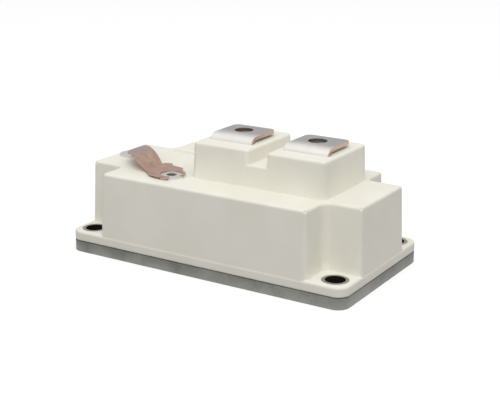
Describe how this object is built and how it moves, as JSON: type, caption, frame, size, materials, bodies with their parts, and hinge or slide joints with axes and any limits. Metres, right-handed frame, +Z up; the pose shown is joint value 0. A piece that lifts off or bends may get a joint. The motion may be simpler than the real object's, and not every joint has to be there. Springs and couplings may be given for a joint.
{
  "type": "igbt module",
  "caption": "High-voltage single-switch IGBT power module with raised screw terminals, control terminals with a shorting clip, and a metal base plate.",
  "frame": {"origin": "centre of the cooling face of the base plate, on which the module stands", "axes": "+X along the length, from the control terminals to the load terminals; +Y from the front long side to the back; +Z up, away from the cooling face"},
  "size_m": [0.14, 0.073, 0.0572],
  "materials": {
    "base_metal": "matte machined metal matrix",
    "housing_plastic": "moulded, fine texture",
    "seal": "matte adhesive",
    "sleeve_metal": "turned",
    "screw_steel": "zinc plated",
    "terminal_metal": "nickel plated copper, bare at the sheared edges",
    "nut_steel": "zinc plated",
    "control_terminal_metal": "tin plated",
    "clip_copper": "bare copper strip",
    "solder": "satin",
    "copper": "satin copper",
    "ceramic": "fired ceramic",
    "igbt_silicon": "polished silicon",
    "diode_silicon": "polished silicon",
    "wire_aluminium": "drawn wire",
    "gel": "clear soft gel"
  },
  "bodies": {
    "root": {"base_plate": "base_metal", "housing": "housing_plastic", "housing_seal": "seal", "mounting_sleeves": "sleeve_metal", "case_screws": "screw_steel", "collector_terminal": "terminal_metal", "emitter_terminal": "terminal_metal", "load_terminal_nuts": "nut_steel", "gate_terminal": "control_terminal_metal", "auxiliary_emitter_terminal": "control_terminal_metal", "control_terminal_nuts": "nut_steel", "shorting_clip": "clip_copper", "substrate_solder": "solder", "substrate_base_copper": "copper", "substrate_ceramics": "ceramic", "substrate_top_copper": "copper", "chip_solder": "solder", "igbt_chips": "igbt_silicon", "diode_chips": "diode_silicon", "bond_wires": "wire_aluminium", "gate_jumpers": "wire_aluminium", "silicone_gel": "gel"}
  },
  "joints": []
}
